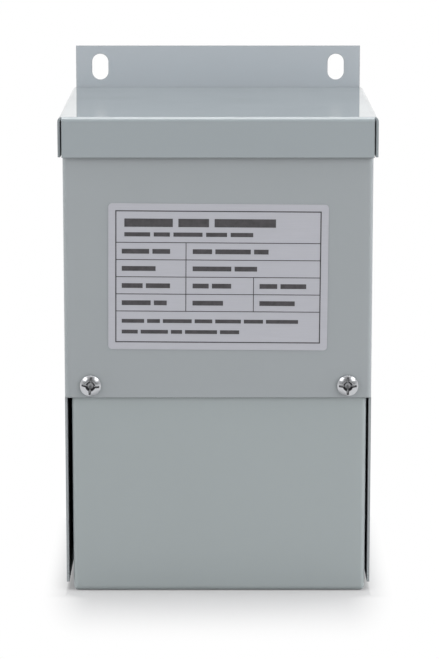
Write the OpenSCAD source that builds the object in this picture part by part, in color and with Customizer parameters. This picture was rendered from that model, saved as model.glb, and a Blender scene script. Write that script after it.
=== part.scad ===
// Small wall-mount buck boost transformer: a potted core in a folded sheet-steel case,
// with a hollow wiring compartment below it. Millimetres. The front faces -Y and the floor is z = 0.

/* [Case] */
// Width across the outside of the side walls
case_w = 96; // [84:0.5:130]
// Depth from the front panel's face to the rear of the back plate
case_d = 91.8; // [70:0.1:130]
// Height from the floor to the top of the cap
body_h = 151; // [130:0.5:200]
// Thickness of the folded sheet
sheet_t = 0.8; // [0.5:0.1:1.2]
// Outside radius of every bend in the sheet
bend_r = 1.5; // [1.3:0.1:2.5]
// Width of the flanges that turn in behind the case
return_w = 10; // [6:0.5:14]

/* [Back plate] */
// Thickness of the back plate
plate_t = 1.2; // [0.8:0.1:2]
// Height of the hanging bracket above the cap
bracket_h = 14; // [12:0.5:25]
// Distance from each side edge of the plate in to the slot centres
slot_inset = 8.15; // [6:0.05:14]
// Width of a slot
slot_w = 5.5; // [4:0.1:7]
// Length of a slot from end to end
slot_len = 8.8; // [8:0.1:9.6]
// Distance from the bracket's top edge down to the slot centres
slot_drop = 7.1; // [6:0.1:7.2]

/* [Top cap] */
// Height of the cap's flanges
cap_h = 12.5; // [8:0.5:20]
// Clearance between the cap's flanges and the case
cap_gap = 0.6; // [0.3:0.1:1.2]
// Open slit at each front corner of the cap
cap_slit = 0.45; // [0.2:0.05:1]

/* [Wiring compartment] */
// Height of the front panel's lower edge
seam_z = 62.8; // [50:0.1:80]
// Height of the lower edges of the side walls and back plate above the floor
side_lift = 2.8; // [1:0.1:6]
// Clearance between the cover and each side wall
cover_gap = 1.05; // [0.6:0.05:2]
// How far right of centre the cover hangs in that clearance
cover_shift = 0.33; // [0:0.01:0.5]
// Width of the flanges along the cover's edges
cover_flange = 10; // [5:0.5:15]
// Radius of the cover's lower corners, as seen from the front
cover_corner = 2.2; // [1.5:0.1:3]
// Height of the cover's tab behind the front panel
tab_h = 10; // [8:0.5:15]
// Height of the cover's side flanges behind the front panel
flange_lap = 1.5; // [0.5:0.1:3]

/* [Cover screws] */
// Distance from the outside of each side wall in to the screws' holes
screw_inset = 7.8; // [6.8:0.1:20]
// Height of the screws above the seam
screw_rise = 4; // [3.8:0.1:6]
// Diameter of a screw head
head_d = 6.6; // [5:0.1:7.4]
// Height of a screw head
head_h = 2.2; // [1.6:0.1:3]
// Radius of the dome on a screw head
dome_r = 5; // [4:0.1:10]
// Diameter of a screw's shank
shank_d = 3.5; // [3:0.1:4.2]
// Length of a screw's shank
shank_len = 7; // [6:0.5:12]
// Degrees that the left screw's recess is turned
left_turn = 6; // [0:1:90]
// Degrees that the right screw's recess is turned
right_turn = 0; // [0:1:90]
// Width of the cross recess in a screw head
recess_w = 1; // [0.6:0.05:1.2]
// Span of the cross recess in a screw head
recess_span = 5; // [2.5:0.1:5.6]
// Depth of the cross recess in a screw head
recess_depth = 1.1; // [0.6:0.05:1.4]
// Diameter of the front panel's holes for the screws
panel_hole_d = 4.8; // [4.6:0.1:5.4]
// Radial clearance between a shank and its collar
thread_gap = 0.1; // [0.05:0.05:0.2]
// Wall of the collars pressed out of the cover's tab
collar_wall = 0.8; // [0.5:0.1:1.2]
// Length of those collars behind the tab
collar_len = 2; // [1:0.1:3]

/* [Knockouts] */
// Diameter of a conduit knockout
knockout_d = 22.2; // [18:0.1:28]
// Height of the knockouts' centres above the floor
knockout_z = 33; // [26:0.5:36]
// Width of the sheared gap around a knockout
shear_gap = 0.25; // [0.1:0.05:0.5]
// Width of the two ties that hold a knockout
tie_w = 3; // [2:0.5:5]

/* [Nameplate] */
// Width of the nameplate
label_w = 68.2; // [40:0.1:76]
// Height of the nameplate
label_h = 45.9; // [25:0.1:55]
// Thickness of the nameplate
label_t = 0.2; // [0.1:0.05:0.5]
// Corner radius of the nameplate
label_r = 1.2; // [0.5:0.1:4]
// Height of the nameplate's centre above the floor
label_z = 101.1; // [96:0.1:108]
// Degrees clockwise that the nameplate is stuck on askew
label_turn = 0.4; // [0:0.1:1]

/* [Potting] */
// Clearance between the cover's tab and the potting compound
pot_gap = 3; // [1:0.5:8]
// Radius of the potting compound's upright edges
pot_r = 2; // [1.6:0.1:4]

/* [Hidden] */
$fn = 64;
// Overshoot of a cut past the face it opens
cut = 1;

// The part stands centred on its own box, screw heads and cap included
front_reach = max(cap_gap + sheet_t, head_h);
y_back = (case_d + front_reach) / 2;
y_plate = y_back - plate_t;
y_front = y_back - case_d;
y_inner = y_front + sheet_t;
y_return = y_plate - sheet_t;
y_wall_mid = (y_front + y_plate) / 2;

x_wall = case_w / 2;
x_inner = x_wall - sheet_t;
x_window = x_wall - return_w;
x_slot = x_wall - slot_inset;
x_screw = x_wall - screw_inset;
bend_in = bend_r - sheet_t;

z_under_cap = body_h - sheet_t;
top_z = body_h + bracket_h;
slot_z = top_z - slot_drop;
screw_z = seam_z + screw_rise;
tab_top = seam_z + tab_h;
flange_top = seam_z + flange_lap;
pot_z = tab_top + pot_gap;

x_cap = x_wall + cap_gap + sheet_t;
y_cap = y_front - cap_gap - sheet_t;
z_cap = body_h - cap_h;
x_front_flange = x_cap - sheet_t - cap_slit;

cover_w = 2 * (x_inner - cover_gap);
collar_bore = shank_d + 2 * thread_gap;

paint = [0.62, 0.65, 0.66];
zinc = [0.78, 0.79, 0.80];
resin = [0.16, 0.15, 0.14];
film = [0.70, 0.70, 0.72];

// Rectangle from corner a to corner b with round corners, square where r is 0
module round_rect(a, b, r) {
    translate(a + [r, 0]) square(b - a - [2 * r, 0]);
    translate(a + [0, r]) square(b - a - [0, 2 * r]);
    if (r > 0)
        for (x = [a.x + r, b.x - r], y = [a.y + r, b.y - r])
            translate([x, y]) circle(r);
}

// Closed loop of sheet between corners a and b, bent round at its corners
module sheet_loop(a, b) {
    wall = [sheet_t, sheet_t];
    difference() {
        round_rect(a, b, bend_r);
        round_rect(a + wall, b - wall, bend_in);
    }
}

// Extrude an outline drawn in X and Z along Y
module along_y(from, to)
    translate([0, to, 0]) rotate([90, 0, 0]) linear_extrude(to - from) children();

// Extrude an outline drawn in Y and Z along X
module along_x(from, to)
    translate([from, 0, 0]) rotate([90, 0, 90]) linear_extrude(to - from) children();

// Round bar along Y
module bar_y(d, from, to)
    translate([0, to, 0]) rotate([90, 0, 0]) cylinder(d = d, h = to - from);

// Place the children at both screws
module at_screws()
    for (side = [-1, 1])
        translate([side * x_screw, 0, screw_z]) children();

// Front panel and side walls, bent from one sheet, with flanges turned in at the rear
module case_wrap() {
    color(paint) difference() {
        translate([0, 0, side_lift]) linear_extrude(z_under_cap - side_lift) difference() {
            sheet_loop([-x_wall, y_front], [x_wall, y_plate]);
            translate([-x_window, y_wall_mid]) square([2 * x_window, case_d]);
        }
        compartment_front();
        at_screws() bar_y(panel_hole_d, y_front - cut, y_inner + cut);
        translate([0, y_wall_mid, knockout_z]) rotate([0, 90, 0])
            cylinder(d = knockout_d, h = case_w + 2 * cut, center = true);
    }
}

// Opening in the front of the case, below the front panel
module compartment_front()
    translate([-x_wall - cut, y_front - cut, side_lift - cut])
        cube([case_w + 2 * cut, bend_r + cut, seam_z - side_lift + cut]);

// Flat plate at the rear that rises above the cap as the hanging bracket
module back_plate() {
    color(paint) along_y(y_plate, y_back) difference() {
        translate([-x_wall, side_lift]) square([case_w, top_z - side_lift]);
        for (side = [-1, 1])
            translate([side * x_slot, slot_z]) slot();
    }
}

// Upright slot with round ends
module slot() {
    reach = (slot_len - slot_w) / 2;
    square([slot_w, 2 * reach], center = true);
    for (side = [-1, 1])
        translate([0, side * reach]) circle(d = slot_w);
}

// Lid with a flange folded down at the front and at each side
module top_cap() {
    color(paint) {
        along_x(-x_front_flange, x_front_flange) intersection() {
            sheet_loop([y_cap, z_cap - body_h], [y_plate + body_h, body_h]);
            translate([y_cap, z_cap]) square([y_plate - y_cap, cap_h]);
        }
        along_y(y_cap + bend_r, y_plate) intersection() {
            sheet_loop([-x_cap, z_cap - body_h], [x_cap, body_h]);
            translate([-x_cap, z_cap]) square([2 * x_cap, cap_h]);
        }
    }
}

// Solid box of the wiring cover, inset on every face but the top, with round bends
module cover_box(inset) {
    r = bend_r - inset;
    corner = cover_corner - inset;
    x = cover_w / 2 - inset;
    front = y_inner + inset;
    rear = y_plate - inset;
    intersection() {
        linear_extrude(tab_top + inset) round_rect([-x, front], [x, rear], r);
        along_x(-x, x) round_rect([front, inset], [rear, 2 * tab_top], r);
        along_y(front, rear) round_rect([-x, inset], [x, 2 * tab_top], corner);
    }
}

// Front and floor of the wiring compartment, with flanged edges and a tab behind the front panel
module wiring_cover() {
    tab_x = cover_w / 2 - bend_r;
    color(paint) translate([cover_shift, 0, 0]) {
        difference() {
            cover_box(0);
            cover_box(sheet_t);
            translate([-case_w, y_inner + cover_flange, cover_flange]) cube([2 * case_w, case_d, tab_top]);
            translate([-case_w, y_inner + sheet_t, flange_top]) cube([2 * case_w, case_d, tab_top]);
            for (side = [-1, 1])
                translate([side * (tab_x + case_w / 2), 0, flange_top + tab_top / 2])
                    cube([case_w, 2 * case_d, tab_top], center = true);
            at_screws() bar_y(collar_bore, y_inner - cut, y_inner + sheet_t + cut);
        }
        at_screws() collar();
    }
}

// Threaded collar pressed out of the tab's rear
module collar() {
    from = y_inner + sheet_t;
    difference() {
        bar_y(collar_bore + 2 * collar_wall, from, from + collar_len);
        bar_y(collar_bore, from - cut, from + collar_len + cut);
    }
}

// Core and coils cast in resin, filling the case from the wiring compartment up to the cap
module potted_core() {
    color(resin) translate([0, 0, pot_z]) linear_extrude(z_under_cap - pot_z) {
        round_rect([-x_inner, y_inner], [x_inner, y_return], pot_r);
        translate([-x_window, y_wall_mid]) square([2 * x_window, y_plate - y_wall_mid]);
    }
}

// Thin rating plate stuck to the front panel, left bare
module nameplate() {
    half = [label_w, label_h] / 2;
    color(film) translate([0, 0, label_z]) along_y(y_front - label_t, y_front)
        rotate(-label_turn) round_rect(-half, half, label_r);
}

// Pan-head screw with a cross recess, its head bearing on the front panel
module cover_screw(side, turn) {
    color(zinc) translate([cover_shift + side * x_screw, y_front, screw_z]) rotate([90, turn, 0])
        difference() {
            screw_blank();
            for (angle = [0, 90])
                rotate(angle) translate([0, 0, head_h])
                    cube([recess_span, recess_w, 2 * recess_depth], center = true);
        }
}

// Head and shank of a screw along Z, with the head's bearing face at z = 0
module screw_blank() {
    tip = shank_d / 4;
    intersection() {
        cylinder(d = head_d, h = head_h);
        translate([0, 0, head_h - dome_r]) sphere(dome_r);
    }
    translate([0, 0, tip - shank_len]) cylinder(d = shank_d, h = shank_len - tip + head_h / 4);
    translate([0, 0, -shank_len]) cylinder(d1 = shank_d - 2 * tip, d2 = shank_d, h = tip);
}

module left_cover_screw() cover_screw(-1, left_turn);
module right_cover_screw() cover_screw(1, right_turn);

// Sheared disc in a side wall, held by an upper and a lower tie
module knockout(side) {
    x_mid = side * (x_wall - sheet_t / 2);
    color(paint) translate([x_mid, y_wall_mid, knockout_z]) rotate([0, 90, 0]) linear_extrude(sheet_t, center = true) {
        circle(d = knockout_d - 2 * shear_gap);
        intersection() {
            circle(d = knockout_d);
            square([2 * knockout_d, tie_w], center = true);
        }
    }
}

module left_knockout() knockout(-1);
module right_knockout() knockout(1);

case_wrap();
back_plate();
top_cap();
wiring_cover();
potted_core();
nameplate();
left_cover_screw();
right_cover_screw();
left_knockout();
right_knockout();
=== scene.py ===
# %% [markdown]
# # A small wall-mount transformer
#
# The solids of the case, cap, cover and screws are already modelled at their real size. This lesson
# loads them as a fixed frame, sets up the photograph's camera and a plain white studio, gives every
# sheet-steel part its enamel, and adds the two things that are easier as numpy surfaces: the screws
# with their threads and recesses, and the print on the nameplate.

# %% Load the frame
import math

import bpy
import numpy as np
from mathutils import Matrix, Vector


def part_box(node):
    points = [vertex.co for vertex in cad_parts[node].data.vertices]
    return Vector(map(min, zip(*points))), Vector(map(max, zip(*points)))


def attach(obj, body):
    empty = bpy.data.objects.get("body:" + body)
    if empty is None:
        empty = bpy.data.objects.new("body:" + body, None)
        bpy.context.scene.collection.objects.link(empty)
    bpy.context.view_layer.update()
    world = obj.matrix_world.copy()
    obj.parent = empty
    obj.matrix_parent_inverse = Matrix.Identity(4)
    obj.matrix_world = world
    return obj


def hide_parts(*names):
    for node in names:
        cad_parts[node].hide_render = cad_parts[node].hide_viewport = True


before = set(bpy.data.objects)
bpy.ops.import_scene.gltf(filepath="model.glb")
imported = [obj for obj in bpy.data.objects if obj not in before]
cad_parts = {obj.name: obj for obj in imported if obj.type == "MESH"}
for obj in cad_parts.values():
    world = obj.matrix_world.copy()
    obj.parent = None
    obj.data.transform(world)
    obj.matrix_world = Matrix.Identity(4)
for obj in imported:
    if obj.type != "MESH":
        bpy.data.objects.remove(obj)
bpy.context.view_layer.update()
MM = 0.001
print("nodes:", ", ".join(sorted(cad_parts)))

# %% [markdown]
# ## The camera
#
# The photograph was taken from in front and a little above, with a long lens, so the cap shows only a
# narrow strip of its top. A shifted lens would keep the upright edges parallel, but it would spoil
# every other view of the part, so the camera is pitched down instead. Its distance decides how much
# smaller the bracket at the back looks than the front panel, so it is set first, and the lens then
# follows from the size of the object in the picture.

# %% Camera
IMAGE_H = 659
SENSOR = 36.0
FOCAL_PX = 2782
CAMERA_X = -0.15 * MM
CAMERA_Y = -896.2 * MM
CAMERA_Z = 246.66 * MM
CAMERA_PITCH = math.radians(10.78)
CAMERA_YAW = math.radians(-0.04)

camera = bpy.data.objects.new("camera", bpy.data.cameras.new("camera"))
bpy.context.scene.collection.objects.link(camera)
camera.data.sensor_width = SENSOR
camera.data.lens = FOCAL_PX * SENSOR / IMAGE_H
camera.location = (CAMERA_X, CAMERA_Y, CAMERA_Z)
camera.rotation_euler = (math.pi / 2 - CAMERA_PITCH, 0, CAMERA_YAW)
bpy.context.scene.camera = camera
bpy.context.scene.view_settings.view_transform = "Standard"
print("lens:", round(camera.data.lens, 1), "mm")

# %% [markdown]
# ## Helpers for node materials
#
# Every finish below is a small node tree. Trees can be drawn by hand in the shader editor, but a
# script shows every number, and a few helpers keep it short. One feeds a value or a link into a
# socket, one adds a node and fills in its sockets by name, and one makes a material that holds a
# Principled shader. Patterns read Object coordinates, so they keep their real size in metres on every
# part.

# %% Node helpers
def feed(tree, socket, value):
    """Link a socket to another node's output, or set it to a plain value."""
    if isinstance(value, bpy.types.NodeSocket):
        tree.links.new(value, socket)
    else:
        socket.default_value = value


def fill(tree, node, **sockets):
    """Feed a node's inputs by name, with _ for a space, or by number as i0, i1 and i2."""
    for name, value in sockets.items():
        number = name[1:]
        key = int(number) if number.isdigit() else name.replace("_", " ")
        feed(tree, node.inputs[key], value)
    return node


def add(tree, kind, operation=None, **sockets):
    """Add a node of this kind, choose its operation, and fill in its inputs."""
    made = tree.nodes.new("ShaderNode" + kind)
    if operation:
        made.operation = operation
    return fill(tree, made, **sockets)


def calc(tree, operation, a, b=0.0):
    """One step of arithmetic on two numbers or sockets."""
    return add(tree, "Math", operation, i0=a, i1=b).outputs[0]


def spread(tree, value, low, high):
    """Stretch a 0 to 1 value to run from low to high, without clipping."""
    return add(tree, "Math", "MULTIPLY_ADD", i0=value, i1=high - low, i2=low).outputs[0]


def blank_material(name):
    """A material with a Principled shader, and the Object coordinates that its patterns read."""
    material = bpy.data.materials.new(name)
    material.use_nodes = True
    tree = material.node_tree
    return material, tree, tree.nodes["Principled BSDF"], add(tree, "TexCoord").outputs["Object"]


print("node helpers ready")

# %% [markdown]
# ## The floor
#
# The object stands on a pale floor that runs out of the picture. A plain matte plane could do that,
# but it would be grey up to the edge of the picture. So the floor is matte only around the object,
# where it takes the soft shadow, and further out it turns into the even white of the page, for the
# camera and for reflections alike. The matte floor is grey even where it is fully lit, so its turn to
# white also paints a shadow around the real one. The change follows the outline of the case: it is
# slow in front, where the painted shadow is long, and quick at the sides and around the front
# corners, where it stays close to the case.

# %% Floor finish
FLOOR_COLOUR = (0.44, 0.44, 0.445)
FLOOR_GLOW = 0.12
# How far the painted shadow reaches past the sides, the back, the front and the corners
SIDE_REACH, BACK_REACH, FRONT_REACH = 8 * MM, 8 * MM, 55 * MM
CORNER_INSET, CORNER_LEAD = 9 * MM, 8 * MM
SIDE_INSET, SIDE_RIM = 5 * MM, 0.5 * MM
HALF_W, HALF_D, _ = np.abs(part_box("case_wrap")).max(0).tolist()


def ray_kinds(tree):
    """Two numbers that are 1 for camera rays, and for glossy or transmission rays."""
    path = add(tree, "LightPath")
    shiny = calc(tree, "MAXIMUM", path.outputs["Is Glossy Ray"], path.outputs["Is Transmission Ray"])
    return path.outputs["Is Camera Ray"], shiny


def ease(tree, value, start, end, low=0.0, high=1.0):
    """Go smoothly from low to high while value goes from start to end."""
    ramp = add(tree, "MapRange", Value=value, From_Min=start, From_Max=end, To_Min=low, To_Max=high)
    ramp.interpolation_type = "SMOOTHSTEP"
    return ramp.outputs["Result"]


def painted_shadow_fade(tree, coords):
    """0 at the case and 1 where the painted shadow ends: distance past each side over that side's reach.
    """
    x, y, _ = add(tree, "SeparateXYZ", Vector=coords).outputs
    beside = calc(tree, "SUBTRACT", calc(tree, "ABSOLUTE", x), HALF_W)
    before = calc(tree, "SUBTRACT", calc(tree, "ABSOLUTE", y), HALF_D)
    ahead = calc(tree, "MAXIMUM", before, 0.0)
    reach = spread(tree, calc(tree, "LESS_THAN", y, 0.0), BACK_REACH, FRONT_REACH)
    past_end = calc(tree, "DIVIDE", ahead, reach)

    corner_inset = ease(tree, ahead, 0.0, CORNER_LEAD, 0.0, CORNER_INSET)
    side_inset = ease(tree, beside, -SIDE_RIM, SIDE_RIM, 0.0, SIDE_INSET)
    inset = calc(tree, "MAXIMUM", corner_inset, side_inset)
    inwards = calc(tree, "MAXIMUM", calc(tree, "ADD", beside, inset), 0.0)
    past_side = calc(tree, "DIVIDE", inwards, calc(tree, "ADD", inset, SIDE_REACH))
    past = add(tree, "CombineXYZ", X=past_side, Y=past_end).outputs[0]
    return add(tree, "VectorMath", "LENGTH", i0=past).outputs["Value"]


def floor_material():
    """Matte near the object, and plain white further out for rays that see it directly."""
    material, tree, shader, coords = blank_material("studio_white")
    tree.nodes.remove(shader)
    camera_ray, shiny = ray_kinds(tree)
    seen = calc(tree, "MAXIMUM", camera_ray, shiny)
    # far is 1 where the floor is plain white; nearer the case the floor stays grey, a painted shadow
    far = calc(tree, "MULTIPLY", ease(tree, painted_shadow_fade(tree, coords), 0.0, 1.0), seen)
    matte = add(tree, "BsdfDiffuse", Color=(*FLOOR_COLOUR, 1)).outputs[0]
    glow = add(tree, "Emission", Strength=calc(tree, "MULTIPLY", camera_ray, FLOOR_GLOW)).outputs[0]
    white = add(tree, "Emission", Strength=1.0).outputs[0]
    lit = add(tree, "AddShader", i0=matte, i1=glow).outputs[0]
    mixed = add(tree, "MixShader", i0=far, i1=lit, i2=white).outputs[0]
    fill(tree, tree.nodes["Material Output"], Surface=mixed)
    return material


floor_finish = floor_material()
print("half of the case in mm:", round(HALF_W / MM, 2), round(HALF_D / MM, 2))

# %% [markdown]
# ## The floor's plane
#
# In a real studio the floor is a sheet of paper that bends up into a backdrop. The bend could be
# modelled, but nothing of it would show, because the floor and the world are the same white far out.
# So one large square is enough.

# %% Floor plane
FLOOR_SIZE = 30.0

half = FLOOR_SIZE / 2
corners = [(-half, -half, 0), (half, -half, 0), (half, half, 0), (-half, half, 0)]
floor_mesh = bpy.data.meshes.new("floor")
floor_mesh.from_pydata(corners, [], [(0, 1, 2, 3)])
floor = bpy.data.objects.new("floor", floor_mesh)
bpy.context.scene.collection.objects.link(floor)
floor.data.materials.append(floor_finish)
print("floor:", FLOOR_SIZE, "m square")

# %% [markdown]
# ## The world
#
# Around the object is a white studio, whose side behind the camera is darker. One even white world
# would be simpler, but then bright metal has nothing dark to mirror and looks like paint. So the
# world is white where the camera sees it, has its darker side in reflections, and is only a dim fill
# as a light.

# %% World
CAMERA_SIDE, CAMERA_SIDE_Y = 0.32, -0.8
FILL = 0.53


def studio_world():
    """White for the camera, darker towards -Y for other rays, and dimmed to a fill for diffuse ones."""
    world = bpy.data.worlds.new("studio")
    world.use_nodes = True
    tree = world.node_tree
    camera_ray, shiny = ray_kinds(tree)
    direction = add(tree, "SeparateXYZ", Vector=add(tree, "TexCoord").outputs["Generated"])
    strength = ease(tree, direction.outputs["Y"], CAMERA_SIDE_Y, 0.0, CAMERA_SIDE, 1.0)
    strength = calc(tree, "MULTIPLY", strength, spread(tree, shiny, FILL, 1.0))
    strength = calc(tree, "MAXIMUM", strength, camera_ray)
    fill(tree, tree.nodes["Background"], Color=(1, 1, 1, 1), Strength=strength)
    return world


bpy.context.scene.world = studio_world()
print("fill light:", FILL)

# %% [markdown]
# ## The lamps
#
# Five soft lamps light the object: a large one overhead, a little behind it, which draws the bright
# line along the cap's front bend and the shadow in front of the object; one high on each side in
# front, for the front; and one low at each side for the upright bends. The side lamps are kept out of
# reflections, because the glossy lid would mirror them as a white sheet when it is seen from behind.
# Two smaller cards are the reverse: they light nothing, and show only in reflections, as the two
# glints on each screw. A lamp could be given by its power, but bright metal mirrors the brightness of
# its face, so each is given by that, and its power follows from the area.

# %% Lamps
LAMP_AIM = (0, 0, 80 * MM)


def soft_lamp(name, place, width, height, brightness, lights=True, mirrored=True):
    """A rectangular lamp that faces the object, with its power worked out as pi x area x brightness."""
    data = bpy.data.lights.new(name, "AREA")
    data.shape = "RECTANGLE"
    data.size, data.size_y = width, height
    data.energy = math.pi * width * height * brightness
    lamp = bpy.data.objects.new(name, data)
    bpy.context.scene.collection.objects.link(lamp)
    lamp.location = place
    aim = np.subtract(LAMP_AIM, place)
    tilt = math.atan2(math.hypot(aim[0], aim[1]), -aim[2])
    lamp.rotation_euler = (tilt, 0, math.atan2(-aim[0], aim[1]))
    lamp.visible_camera = False
    lamp.visible_diffuse = lights
    lamp.visible_glossy = mirrored
    return lamp


lamps = [
    soft_lamp("overhead_lamp", (0.05, 0.2, 1.5), 1.2, 1.2, 4.0),
    soft_lamp("left_lamp", (-1.25, -1.3, 1.0), 1.65, 1.65, 1.5, mirrored=False),
    soft_lamp("right_lamp", (1.25, -1.3, 1.0), 1.65, 1.65, 2.5, mirrored=False),
    soft_lamp("left_card", (-1.25, -1.0, 1.25), 0.85, 0.85, 2.3, lights=False),
    soft_lamp("right_card", (1.25, -1.0, 1.25), 0.85, 0.85, 2.5, lights=False),
    soft_lamp("left_rim_lamp", (-1.4, -0.05, 0.5), 0.6, 0.9, 5.0, mirrored=False),
    soft_lamp("right_rim_lamp", (1.4, -0.05, 0.5), 0.6, 0.9, 6.4, mirrored=False),
]
print("lamps:", {lamp.name: round(lamp.data.energy, 1) for lamp in lamps}, "W")

# %% [markdown]
# ## Where the paint differs
#
# The case is steel sheet with a baked grey enamel. Its sheared edges are darker: the coat is so
# thin there that dark steel shows through in patches, and the darkening is partly painted shade
# along the edges. Inside the case the paint is only overspray, rougher and darker, and that darker
# colour is painted shade too. Both places could be painted on by hand, but the shader can find them
# on any part. A Bevel node rounds the sheared edges in the shading, and the angle between that
# rounded normal and the true one tells an edge from a flat. A face whose normal points back at the
# middle of the case is an inner one.

# %% Edges and inner faces
EDGE_RADIUS = 0.4 * MM
EDGE_STARTS, EDGE_FULL = 0.97, 0.75
CASE_MIDDLE = (0, 0, 75 * MM)
INNER_LEAN = -5 * MM


def dot(tree, a, b):
    """Dot product of two vectors."""
    return add(tree, "VectorMath", "DOT_PRODUCT", i0=a, i1=b).outputs["Value"]


def edge_mask(tree, rounded):
    """1 on a sheared edge and 0 on a flat: how far the rounded normal leans from the true one."""
    lean = dot(tree, rounded, add(tree, "NewGeometry").outputs["Normal"])
    return add(tree, "MapRange", Value=lean, From_Min=EDGE_STARTS, From_Max=EDGE_FULL).outputs["Result"]


def inner_mask(tree, coords):
    """1 where a face's normal points back at the middle of the case."""
    outwards = add(tree, "VectorMath", "SUBTRACT", i0=coords, i1=CASE_MIDDLE).outputs["Vector"]
    lean = dot(tree, outwards, add(tree, "NewGeometry").outputs["True Normal"])
    return calc(tree, "LESS_THAN", lean, INNER_LEAN)


print("edges rounded by", EDGE_RADIUS / MM, "mm")

# %% [markdown]
# ## Patterns
#
# Paint, film, resin and plating are never quite even. Their patterns could be pictures, but a picture
# has pixels and has to be unwrapped onto every part. So each pattern is a fractal noise, which has
# the same real size everywhere. It scales a colour, sets a roughness or raises a bump.

# %% Pattern helpers
def noise(tree, coords, scale, detail):
    """Fractal noise between 0 and 1, with scale in patterns per metre."""
    return add(tree, "TexNoise", Vector=coords, Scale=scale, Detail=detail).outputs["Fac"]


def patches(tree, coords, scale, detail, low, high):
    """Noise that runs from low to high."""
    return spread(tree, noise(tree, coords, scale, detail), low, high)


def scaled(tree, colour, factor):
    """A colour times a factor."""
    return add(tree, "VectorMath", "SCALE", i0=colour, Scale=factor).outputs["Vector"]


def blend(tree, factor, a, b):
    """Mix two colours by a factor."""
    mixed = add(tree, "Mix")
    mixed.data_type = "RGBA"
    for name, value in (("Factor", factor), ("A", a), ("B", b)):
        feed(tree, next(s for s in mixed.inputs if s.name == name and s.enabled), value)
    return next(s for s in mixed.outputs if s.enabled)


def bump(tree, height, distance, **sockets):
    """Normal of a surface that is raised by height x distance, in metres."""
    return add(tree, "Bump", Height=height, Distance=distance, **sockets).outputs["Normal"]


print("pattern helpers ready")

# %% [markdown]
# ## Grey enamel
#
# Close up, baked enamel has a fine orange peel and a slightly uneven tone and gloss, and it follows
# the slow waviness of the sheet. Peel and waves could be modelled, but they are hundredths of a
# millimetre high, so they go into one bump. Each of the other patterns is a noise that runs between
# two values.

# %% Enamel
ENAMEL = np.array([0.312, 0.337, 0.350])
ENAMEL_ROUGHNESS = 0.15
# How dark a sheared edge gets: a thin coat and wear, and painted shade along the edge
THIN_COAT_AND_SHADE = 0.45
# Inside the case: rougher overspray, with its colour darkened as painted shade
OVERSPRAY_AND_SHADE, OVERSPRAY_ROUGHNESS = 0.55, 0.65
# Scale and detail of a noise, and the values that it runs between
EDGE_WEAR_AND_SHADE = (160, 4.0, 0.4, 1.2)
ENAMEL_TONE = (14, 3.0, 0.97, 1.03)
ENAMEL_GLOSS = (60, 3.0, 0.75, 1.25)
# Scale and detail alone
PEEL, WAVE = (900, 1.0), (28, 0.0)
PEEL_HEIGHT, WAVE_HEIGHT = 0.004 * MM, 0.05 * MM


def enamel(name, tint=(1, 1, 1), roughness=ENAMEL_ROUGHNESS, peel=PEEL_HEIGHT, relief=None, lined_and_shaded=False):
    """Baked enamel with edges darkened for wear and painted shade. Tint scales its colour, relief adds a
    height, and the last flag gives rougher overspray inside, darker as painted shade.
    """
    material, tree, shader, coords = blank_material(name)
    paint = ENAMEL * tint
    rounded = add(tree, "Bevel", Radius=EDGE_RADIUS).outputs["Normal"]
    # Darker sheared edges, in patches: partly wear, partly painted shade
    worn_and_shaded = calc(tree, "MULTIPLY", edge_mask(tree, rounded), patches(tree, coords, *EDGE_WEAR_AND_SHADE))
    base = scaled(tree, tuple(paint), patches(tree, coords, *ENAMEL_TONE))
    colour = blend(tree, worn_and_shaded, base, (*(paint * THIN_COAT_AND_SHADE), 1))
    gloss = calc(tree, "MULTIPLY", patches(tree, coords, *ENAMEL_GLOSS), roughness)
    if lined_and_shaded:
        inner = inner_mask(tree, coords)
        # Inner faces are darker, as painted shade inside the case, and rougher
        colour = blend(tree, inner, colour, (*(paint * OVERSPRAY_AND_SHADE), 1))
        gloss = calc(tree, "MAXIMUM", gloss, calc(tree, "MULTIPLY", inner, OVERSPRAY_ROUGHNESS))

    grain = calc(tree, "MULTIPLY", noise(tree, coords, *PEEL), peel)
    wave = calc(tree, "MULTIPLY", noise(tree, coords, *WAVE), WAVE_HEIGHT)
    height = calc(tree, "ADD", grain, wave)
    if relief:
        height = calc(tree, "ADD", height, relief(tree, coords))
    normal = bump(tree, height, 1.0, Normal=rounded)
    fill(tree, shader, Base_Color=colour, Roughness=gloss, Normal=normal)
    return material


case_enamel = enamel("case_enamel", lined_and_shaded=True)
print("enamel:", ENAMEL.tolist())

# %% [markdown]
# ## Enamel on each part
#
# The cover and the back plate are given slightly lighter greys and the cap a slightly darker one:
# painted light and shade, for the way light falls on each part, such as the light that the floor
# throws up onto the cover. The cap's paint dried lying flat, so it is smoother and glossier than the
# rest. Its thin lid dips a little towards the back, so that from in front it mirrors the plain foot
# of the bracket. The dip could be bent into the mesh, but the solids stay as they are, so it is one
# more height in the bump, which falls evenly along Y.

# %% Enamelled parts
# The lighter tints are painted light, and the lid's darker tint is painted shade
COVER_LIGHT_TINT = (1.04, 1.07, 1.05)
PLATE_LIGHT_TINT = (1.27, 1.27, 1.31)
LID_SHADE_TINT = (0.96, 0.99, 1.0)
LID_ROUGHNESS, LID_PEEL = 0.07, 0.0008 * MM
LID_DIP = math.tan(math.radians(2.7))


def lid_dip(tree, coords):
    """Height of the lid: a slope that falls towards the back."""
    return calc(tree, "MULTIPLY", add(tree, "SeparateXYZ", Vector=coords).outputs["Y"], -LID_DIP)


def dress(node, material):
    """Give a whole CAD node one material."""
    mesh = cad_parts[node].data
    mesh.materials.clear()
    mesh.materials.append(material)


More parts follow.
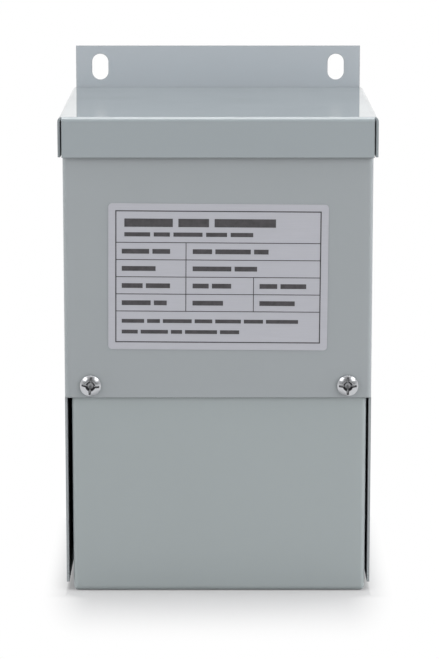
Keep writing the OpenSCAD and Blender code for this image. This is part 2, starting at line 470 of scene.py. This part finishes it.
finishes = {
    "case_wrap": case_enamel,
    "left_knockout": case_enamel,
    "right_knockout": case_enamel,
    "wiring_cover": enamel("cover_lit_enamel", COVER_LIGHT_TINT, lined_and_shaded=True),
    "back_plate": enamel("plate_lit_enamel", PLATE_LIGHT_TINT),
    "top_cap": enamel("cap_shaded_enamel", LID_SHADE_TINT, LID_ROUGHNESS, LID_PEEL, lid_dip, lined_and_shaded=True),
}
for node, material in finishes.items():
    dress(node, material)
print("enamelled:", ", ".join(finishes))

# %% [markdown]
# ## Label film and potting compound
#
# The nameplate is a matte silver film with a fine grain across it. A picture of the grain would show
# its pixels up close, so the grain is a noise that a Mapping node stretches sideways. The core behind
# the panel is cast in a dark resin, which is dull and slightly uneven where it set. One noise drives
# its tone, its gloss and its height together, so its hollows come out darker and shinier.

# %% Film and resin
FILM_COLOUR, FILM_METALLIC = (0.45, 0.455, 0.495), 0.25
FILM_STRETCH = (0.04, 1.0, 1.0)
FILM_GRAIN, FILM_TONE = (2600, 2.0), (0.95, 1.05)
FILM_GLOSS = (90, 2.0, 0.4, 0.52)
FILM_BUMP, FILM_HEIGHT = 0.12, 0.01 * MM
RESIN_COLOUR = (0.030, 0.027, 0.025)
RESIN_MOTTLE, RESIN_TONE, RESIN_GLOSS = (70, 4.0), (0.7, 1.3), (0.4, 0.6)
RESIN_BUMP, RESIN_HEIGHT = 0.4, 0.4 * MM


def silver_film():
    """Matte silver film with a fine sideways grain."""
    material, tree, shader, coords = blank_material("silver_film")
    stretched = add(tree, "Mapping", Vector=coords, Scale=FILM_STRETCH).outputs["Vector"]
    grain = noise(tree, stretched, *FILM_GRAIN)
    colour = scaled(tree, FILM_COLOUR, spread(tree, grain, *FILM_TONE))
    gloss = patches(tree, coords, *FILM_GLOSS)
    normal = bump(tree, grain, FILM_HEIGHT, Strength=FILM_BUMP)
    fill(tree, shader, Base_Color=colour, Metallic=FILM_METALLIC, Roughness=gloss, Normal=normal)
    return material


def mottled(name, colour, mottle, tone, gloss, strength, height, metallic=0.0):
    """A finish with one noise for its colour, its roughness and its height."""
    material, tree, shader, coords = blank_material(name)
    cloud = noise(tree, coords, *mottle)
    base = scaled(tree, colour, spread(tree, cloud, *tone))
    roughness = spread(tree, cloud, *gloss)
    normal = bump(tree, cloud, height, Strength=strength)
    fill(tree, shader, Base_Color=base, Metallic=metallic, Roughness=roughness, Normal=normal)
    return material


resin = mottled(
    "cast_resin", RESIN_COLOUR, RESIN_MOTTLE, RESIN_TONE, RESIN_GLOSS, RESIN_BUMP, RESIN_HEIGHT
)
dress("nameplate", silver_film())
dress("potted_core", resin)
print("film and resin set")

# %% [markdown]
# ## A surface from two parameters
#
# The new pieces are grids: an array of points with one row for each step of the first parameter and
# one column for each step of the second. A turned piece closes its columns into rings, and ends in a
# single point at each pole, where a fan of triangles takes the place of the quads. Blender's own
# Screw modifier could turn a profile too, but a grid of points can also take a thread and a recess.

# %% Grid to mesh
def ring_faces(rings, columns):
    """Faces of a turned piece: a fan from the first point, quads between rings and a fan to the last.

    Point c of ring r has the number 1 + r x columns + c.
    """
    r, c = np.meshgrid(np.arange(rings - 1), np.arange(columns), indexing="ij")
    after = (c + 1) % columns
    here, above = 1 + r * columns, 1 + (r + 1) * columns
    quads = np.stack([here + c, here + after, above + after, above + c], -1)
    c, after = c[0], after[0]
    last = 1 + (rings - 1) * columns
    first_fan = np.stack([np.zeros_like(c), 1 + after, 1 + c], -1)
    last_fan = np.stack([last + c, last + after, np.full_like(c, last + columns)], -1)
    return first_fan, quads.reshape(-1, 4), last_fan


def piece(name, points, faces, slot, *materials):
    """Make a mesh object from points and blocks of faces, dress it and let it ride on the body."""
    polygons = [face for block in faces for face in block.tolist()]
    mesh = bpy.data.meshes.new(name)
    mesh.from_pydata(points.reshape(-1, 3).tolist(), [], polygons)
    for material in materials:
        mesh.materials.append(material)
    made = bpy.data.objects.new(name, mesh)
    bpy.context.scene.collection.objects.link(made)
    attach(made, "root")
    return made


print("3 rings of 4 points make", sum(map(len, ring_faces(3, 4))), "faces")

# %% [markdown]
# ## Zinc
#
# Two zinc-plated screws hold the cover. Plate is cloudy up close, so it is mottled like the resin,
# but finer. The walls of a recess get a dark zinc and its floors a middling one, as painted shade for
# the shade that falls inside it, so a screw has three finishes. One finish with a mask could do the
# same, but a finish for each face keeps the borders sharp.

# %% Zinc finishes
ZINC_MOTTLE, ZINC_TONE = (1500, 3.0), (0.9, 1.1)
ZINC_BUMP, ZINC_HEIGHT = 0.1, 0.02 * MM


def zinc_plate(name, colour, gloss):
    """Zinc plate, whose roughness runs between the two values of gloss."""
    return mottled(name, colour, ZINC_MOTTLE, ZINC_TONE, gloss, ZINC_BUMP, ZINC_HEIGHT, metallic=1.0)


zincs = [
    zinc_plate("bright_zinc", (0.55, 0.56, 0.58), (0.16, 0.3)),
    # The two recess zincs are darker than the plate: painted shade inside the recess
    zinc_plate("recess_wall_shaded_zinc", (0.12, 0.12, 0.13), (0.3, 0.5)),
    zinc_plate("recess_floor_shaded_zinc", (0.30, 0.305, 0.315), (0.25, 0.4)),
]
print("zinc:", ", ".join(zinc.name for zinc in zincs))

# %% [markdown]
# ## The recess
#
# The screws' pan heads have a combination recess: a cross for one driver, with wings that run out to
# the rim for another. A boolean could cut it, but that leaves ragged faces on a dome. So the recess
# is a depth in millimetres for every point of the head, the greatest of a round bowl and two crossed
# pairs of wings, and it is taken off the dome when the points are made.

# %% Recess depth
WING_W, WING_NARROWS = 1.05, 0.08
WING_REACH, WING_CURVE = 2.75, 0.4
WING_DEPTH = 1.2
BOWL_R, BOWL_DEPTH, CONE_DEPTH = 1.65, 0.9, 0.8
WING_WALL, BOWL_WALL = 0.22, 0.75
RECESS_LIP, WALL_DROP = 0.15, 0.03


def inside(distance, half_width, wall):
    """1 inside a band and 0 outside it: 3 t squared less 2 t cubed, with t from 0 to 1 over its wall."""
    t = np.clip((half_width - np.abs(distance)) / wall, 0, 1)
    return t * t * (3 - 2 * t)


def wing(along, across):
    """Depth of a pair of wings: a power of the way left to their ends, inside their narrowing width."""
    reach = np.clip(1 - np.abs(along) / WING_REACH, 0, 1)
    half_width = WING_W / 2 - WING_NARROWS * np.abs(along)
    return WING_DEPTH * reach**WING_CURVE * inside(across, half_width, WING_WALL)


def recess_depth(across, along):
    """Depth of the recess: the greatest of both pairs of wings and of a bowl with a conical floor."""
    out = np.hypot(across, along)
    cone = BOWL_DEPTH + CONE_DEPTH * np.clip(1 - out / BOWL_R, 0, 1)
    bowl = cone * inside(out, BOWL_R, BOWL_WALL)
    return np.maximum(bowl, np.maximum(wing(along, across), wing(across, along)))


def recess_finish(depth):
    """Finish of each face: 1 on recess walls and 2 on recess floors, both painted shade, and 0
    elsewhere.
    """
    steep = np.ptp(depth, axis=1) > WALL_DROP
    sunk = depth.min(1) > RECESS_LIP
    return np.where(steep, 1, np.where(sunk, 2, 0))


print("recess:", round(float(recess_depth(0.0, 0.0)), 2), "mm deep in the middle")

# %% [markdown]
# ## The screw's surface
#
# A screw is round, so its surface is a profile turned about its axis: a function of the step along
# the profile and the angle. The thread could be a coil of its own, but coil and shank would then cut
# through each other. So the thread is a zigzag taken off the shank's radius, which climbs by one
# pitch in every turn.

# %% Screw points
HEAD_H, HEAD_R = 2.2, 3.3
DOME_R, RIM = 5.0, 0.1
SHANK_R, SHANK_LEN = 1.75, 7.0
TIP, NECK = 0.9, 0.6
THREAD_PITCH, THREAD_DEPTH = 0.8, 0.28
AROUND = 192
SHANK_STEPS, DOME_STEPS = 72, 84


def screw_profile():
    """Radius and height along the outline, poles left out: tip, shank, underside of the head, rim, dome.

    The dome is part of a sphere: its height follows the root of DOME_R squared less r squared.
    """
    shank_h = np.linspace(TIP - SHANK_LEN, -NECK, SHANK_STEPS)
    dome = HEAD_R * np.linspace(1, 0, DOME_STEPS)[:-1]
    dome_h = HEAD_H - DOME_R + np.sqrt(DOME_R**2 - dome**2)
    radius = np.r_[SHANK_R / 2, np.full(SHANK_STEPS, SHANK_R), SHANK_R, HEAD_R - RIM, HEAD_R, dome]
    height = np.r_[-SHANK_LEN, shank_h, 0, 0, RIM, dome_h]
    return radius, height


def screw_points(turn):
    """Shape of the grid, points in mm, and the depth of the recess at each point, with 0 at the poles.

    The profile is turned about Y. The thread is a zigzag of height in pitches less angle in turns.
    """
    radius, height = screw_profile()
    angle = np.linspace(0, 2 * np.pi, AROUND, endpoint=False)
    r, a = np.meshgrid(radius, angle, indexing="ij")
    h = np.repeat(height[:, None], AROUND, 1)
    on_shank = (h > TIP - SHANK_LEN) & (h <= -NECK)
    climb = (h / THREAD_PITCH - a / (2 * np.pi)) % 1
    r = r - THREAD_DEPTH * np.abs(2 * climb - 1) * on_shank

    on_dome = (np.arange(len(radius)) > len(radius) - DOME_STEPS)[:, None]
    depth = recess_depth(r * np.cos(a - turn), r * np.sin(a - turn)) * on_dome
    rings = np.stack([r * np.cos(a), depth - h, r * np.sin(a)], -1)
    tip, pit = [0, SHANK_LEN, 0], [0, recess_depth(0.0, 0.0) - HEAD_H, 0]
    return r.shape, np.vstack([tip, rings.reshape(-1, 3), pit]), np.pad(depth.ravel(), 1)


print("points in a screw:", len(screw_points(0.0)[1]))

# %% [markdown]
# ## The screws in place
#
# Each screw stands where its solid stood, with its head out along -Y, and replaces it. Both could
# share one mesh, but no two screws stop at the same angle, so each is made with its own turn.

# %% Cover screws
SHARP_ANGLE = math.radians(35)
LEFT_TURN, RIGHT_TURN = math.radians(-6), 0.0


def cover_screw(node, turn):
    """Stand a screw in place of its CAD node, with its recess at this angle."""
    lo, hi = (np.array(corner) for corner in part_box(node))
    grid, points, depth = screw_points(turn)
    bearing = np.array([(lo[0] + hi[0]) / 2, hi[1] - SHANK_LEN * MM, (lo[2] + hi[2]) / 2])
    faces = ring_faces(*grid)
    made = piece(node + "_detail", bearing + points * MM, faces, "zinc", *zincs)
    # The recess faces take the darker zincs, which paint its shade
    finish = np.concatenate([recess_finish(depth[block]) for block in faces])
    made.data.polygons.foreach_set("material_index", finish.astype(np.int32))
    made.data.shade_smooth()
    made.data.set_sharp_from_angle(angle=SHARP_ANGLE)
    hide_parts(node)
    return made


screws = [cover_screw("left_cover_screw", LEFT_TURN), cover_screw("right_cover_screw", RIGHT_TURN)]
print("faces in each screw:", [len(screw.data.polygons) for screw in screws])

# %% [markdown]
# ## The rating table
#
# The nameplate carries a plain rating table: a frame, rules between the rows, and bars that stand
# where the words would be. It could be a painted picture, but as a list of rectangles in millimetres
# it is sharp at any distance, and a row is easy to change.

# %% Marks
FRAME_LEFT, FRAME_BOTTOM, FRAME_TOP = 2.2, 2.2, 43.4
FRAME_W, FRAME_LINE = 63.8, 0.35
UPRIGHT_BOTTOM, UPRIGHT_H = 2.3, 41.3
RULE_LINE = 0.25
RULE_LEVELS = (33.6, 28.2, 22.8, 17.4, 12.0)
# Left side and height of each line between columns
COLUMN_LINES = ((24.0, 21.8), (45.0, 10.8))
# Left side, level, height, gap and lengths of the words in a line
TEXT_LINES = [
    (5.0, 38.6, 2.6, 1.7, [15, 9.5, 19]),
    (5.0, 35.6, 1.3, 1.1, [8, 5, 9, 6.5, 7]),
    (47.0, 19.4, 1.5, 1.0, [5.5, 8]),
    (47.0, 14.0, 1.5, 1.0, [11]),
    (4.2, 8.4, 1.2, 0.9, [7, 4, 9, 5.5, 8, 6, 10]),
    (4.2, 5.0, 1.2, 0.9, [5, 8.5, 3.5, 10, 6]),
]
# Left side of a column, and the lengths of the words in each of its rows
TABLE_COLUMNS = {
    4.2: [[8.5, 5.5], [10.5], [6.5, 7.5], [9, 4]],
    26.2: [[6, 11, 4.5], [12, 7], [5, 6], [9.5]],
}
FIRST_ROW, ROW_H = 30.2, 5.4
WORD_H, WORD_GAP = 1.5, 1.0


def word_bars(left, level, height, gap, lengths):
    """A line of bars as left, bottom, width and height: each starts a gap after the end of the last."""
    lengths = np.array(lengths, float)
    starts = left + np.cumsum(lengths + gap) - lengths - gap
    return np.stack([starts, np.full_like(starts, level), lengths, np.full_like(starts, height)], -1)


def label_marks():
    """Every mark as left, bottom, width and height in mm from the label's lower left corner."""
    frame_right = FRAME_LEFT + FRAME_W - FRAME_LINE
    frame_lines = [
        [FRAME_LEFT, FRAME_BOTTOM, FRAME_W, FRAME_LINE],
        [FRAME_LEFT, FRAME_TOP, FRAME_W, FRAME_LINE],
        [FRAME_LEFT, UPRIGHT_BOTTOM, FRAME_LINE, UPRIGHT_H],
        [frame_right, UPRIGHT_BOTTOM, FRAME_LINE, UPRIGHT_H],
    ]
    rules = [[FRAME_LEFT, level, FRAME_W, RULE_LINE] for level in RULE_LEVELS]
    columns = [[left, RULE_LEVELS[-1], RULE_LINE, height] for left, height in COLUMN_LINES]
    lines = [word_bars(*line) for line in TEXT_LINES]
    for left, rows in TABLE_COLUMNS.items():
        levels = FIRST_ROW - ROW_H * np.arange(len(rows))
        lines += [word_bars(left, level, WORD_H, WORD_GAP, row) for level, row in zip(levels, rows)]
    return np.concatenate([frame_lines, rules, columns, *lines])


marks = label_marks()
print("marks on the nameplate:", len(marks))

# %% [markdown]
# ## The print
#
# Screen print is a layer of ink, a few hundredths of a millimetre thick and dull. It could be a mask
# in the film's finish, but slabs of ink belong to the mesh and are exported with it. So every mark is
# a thin box, and the whole print is one array: the eight corners of a unit box, scaled by each mark's
# size and moved to its place, with a dark ink that wore slightly thin in patches.

# %% Ink
INK_LIFT = 0.03 * MM
INK_COLOUR, INK_ROUGHNESS = (0.035, 0.033, 0.036), 0.55
INK_WEAR = (700, 3.0, 0.6, 2.2)
FILM_SIZE = np.array([68.2, 45.9])
LABEL_TURN = math.radians(-0.4)
FILM_LO, FILM_HI = (np.array(corner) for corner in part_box("nameplate"))
BOX_SIDES = np.array([
    [0, 2, 3, 1], [4, 5, 7, 6], [0, 1, 5, 4],
    [2, 6, 7, 3], [0, 4, 6, 2], [1, 3, 7, 5],
])


def label_ink():
    """Dull dark ink with a patchy tone."""
    material, tree, shader, coords = blank_material("label_ink")
    colour = scaled(tree, INK_COLOUR, patches(tree, coords, *INK_WEAR))
    fill(tree, shader, Base_Color=colour, Roughness=INK_ROUGHNESS)
    return material


def print_slabs(marks):
    """Points and faces of a thin box for every mark, turned with the film and standing on its face.

    A corner is its mark's place plus the unit corner times the mark's size, turned about the middle.
    """
    unit = np.array([[x, z, y] for y in (0, 1) for z in (0, 1) for x in (0, 1)])
    flat = (marks[:, None, :2] + unit[None, :, :2] * marks[:, None, 2:] - FILM_SIZE / 2) * MM
    c, s = math.cos(LABEL_TURN), math.sin(LABEL_TURN)
    centre = (FILM_LO + FILM_HI) / 2
    x = centre[0] + flat[..., 0] * c - flat[..., 1] * s
    z = centre[2] + flat[..., 0] * s + flat[..., 1] * c
    y = np.broadcast_to(FILM_LO[1] - unit[:, 2] * INK_LIFT, x.shape)
    faces = BOX_SIDES[None] + len(unit) * np.arange(len(marks))[:, None, None]
    return np.stack([x, y, z], -1), [faces.reshape(-1, 4)]


label_print = piece("nameplate_print", *print_slabs(marks), "film", label_ink())
print("faces in the print:", len(label_print.data.polygons))
